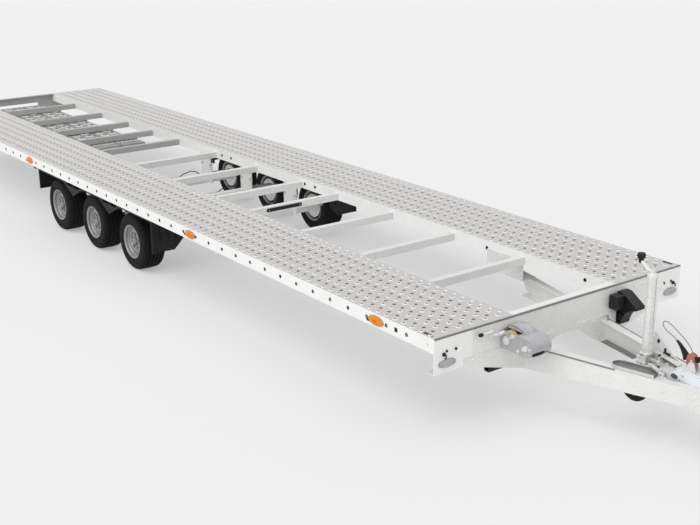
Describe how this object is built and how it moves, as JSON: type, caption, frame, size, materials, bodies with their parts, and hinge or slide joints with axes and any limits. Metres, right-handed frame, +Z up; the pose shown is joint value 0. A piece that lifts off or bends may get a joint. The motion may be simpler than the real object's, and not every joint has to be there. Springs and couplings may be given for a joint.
{
  "type": "car transporter trailer",
  "caption": "Low tri-axle trailer with twin perforated runways, V drawbar with ball coupling, jockey wheel, winch and stowed ramps for carrying cars.",
  "frame": {"origin": "on the ground below the middle of the overall box", "axes": "+X forward to the coupling, +Y left, +Z up"},
  "size_m": [10.426, 2.124, 1.0389],
  "materials": {
    "galvanised": "hot-dip galvanised, satin",
    "steel_rope": "plastic-coated steel rope",
    "black_plastic": "matt black",
    "zinc": "bright zinc plated",
    "clear_lens": "clear on grey",
    "rubber": "matt black",
    "black_paint": "black enamel",
    "casting": "zinc-coated casting",
    "red_lens": "clear red",
    "wheel_steel": "silver lacquered steel",
    "plank_metal": "pressed plank, satin",
    "amber_lens": "clear amber",
    "tyre": "matt tread rubber",
    "strap": "woven strap"
  },
  "bodies": {
    "frame": {"axle_1": "galvanised", "axle_2": "galvanised", "axle_3": "galvanised", "breakaway_cable": "steel_rope", "coupling_handle": "black_plastic", "coupling_head": "zinc", "coupling_tube": "zinc", "cross_members_front": "galvanised", "cross_members_middle": "galvanised", "cross_members_rear": "galvanised", "drawbar_bridge": "galvanised", "drawbar_gussets": "galvanised", "drawbar_leg_left": "galvanised", "drawbar_leg_right": "galvanised", "front_beam": "galvanised", "front_markers": "clear_lens", "gaiter": "rubber", "guard_brackets": "galvanised", "handbrake_lever": "black_paint", "inner_rail_left": "galvanised", "inner_rail_right": "galvanised", "jockey_clamp": "zinc", "jockey_crank": "zinc", "jockey_tube": "zinc", "leg_brackets": "galvanised", "mudguards_left": "black_plastic", "mudguards_right": "black_plastic", "overrun_housing": "casting", "ramp_runners": "galvanised", "rear_beam": "galvanised", "rear_lamps": "red_lens", "runway_left": "plank_metal", "runway_right": "plank_metal", "side_markers": "amber_lens", "side_rail_left": "galvanised", "side_rail_right": "galvanised", "socket_plate": "galvanised", "wheel_chocks": "black_plastic", "winch_crank": "zinc", "winch_drum": "strap", "winch_frame": "zinc"},
    "wheel_1_left": {"tyre_1_left": "tyre", "rim_1_left": "wheel_steel"},
    "wheel_1_right": {"tyre_1_right": "tyre", "rim_1_right": "wheel_steel"},
    "wheel_2_left": {"tyre_2_left": "tyre", "rim_2_left": "wheel_steel"},
    "wheel_2_right": {"tyre_2_right": "tyre", "rim_2_right": "wheel_steel"},
    "wheel_3_left": {"tyre_3_left": "tyre", "rim_3_left": "wheel_steel"},
    "wheel_3_right": {"tyre_3_right": "tyre", "rim_3_right": "wheel_steel"},
    "jockey_leg": {"jockey_leg": "zinc"},
    "jockey_fork": {"jockey_fork": "zinc"},
    "jockey_wheel": {"jockey_wheel": "rubber"},
    "ramp_left": {"ramp_left": "galvanised"},
    "ramp_right": {"ramp_right": "galvanised"}
  },
  "joints": [
    {"name": "wheel_1_left_spin", "type": "hinge", "parent": "frame", "child": "wheel_1_left", "pos_m": [-0.33, 0.8895, 0.234], "axis": [0, 1, 0], "continuous": true},
    {"name": "wheel_1_right_spin", "type": "hinge", "parent": "frame", "child": "wheel_1_right", "pos_m": [-0.33, -0.8895, 0.234], "axis": [0, 1, 0], "continuous": true},
    {"name": "wheel_2_left_spin", "type": "hinge", "parent": "frame", "child": "wheel_2_left", "pos_m": [-1.042, 0.8895, 0.234], "axis": [0, 1, 0], "continuous": true},
    {"name": "wheel_2_right_spin", "type": "hinge", "parent": "frame", "child": "wheel_2_right", "pos_m": [-1.042, -0.8895, 0.234], "axis": [0, 1, 0], "continuous": true},
    {"name": "wheel_3_left_spin", "type": "hinge", "parent": "frame", "child": "wheel_3_left", "pos_m": [-1.754, 0.8895, 0.234], "axis": [0, 1, 0], "continuous": true},
    {"name": "wheel_3_right_spin", "type": "hinge", "parent": "frame", "child": "wheel_3_right", "pos_m": [-1.754, -0.8895, 0.234], "axis": [0, 1, 0], "continuous": true},
    {"name": "jockey_slide", "type": "slide", "parent": "frame", "child": "jockey_leg", "axis": [0, 0, 1], "range_m": [-0.16, 0]},
    {"name": "jockey_swivel", "type": "hinge", "parent": "jockey_leg", "child": "jockey_fork", "pos_m": [4.053, 0, 0.362], "axis": [0, 0, 1], "continuous": true},
    {"name": "jockey_wheel_spin", "type": "hinge", "parent": "jockey_fork", "child": "jockey_wheel", "pos_m": [3.998, 0, 0.25], "axis": [0, 1, 0], "continuous": true},
    {"name": "ramp_left_slide", "type": "slide", "parent": "frame", "child": "ramp_left", "axis": [-1, 0, 0], "range_m": [0, 1.5]},
    {"name": "ramp_right_slide", "type": "slide", "parent": "frame", "child": "ramp_right", "axis": [-1, 0, 0], "range_m": [0, 1.5]}
  ]
}
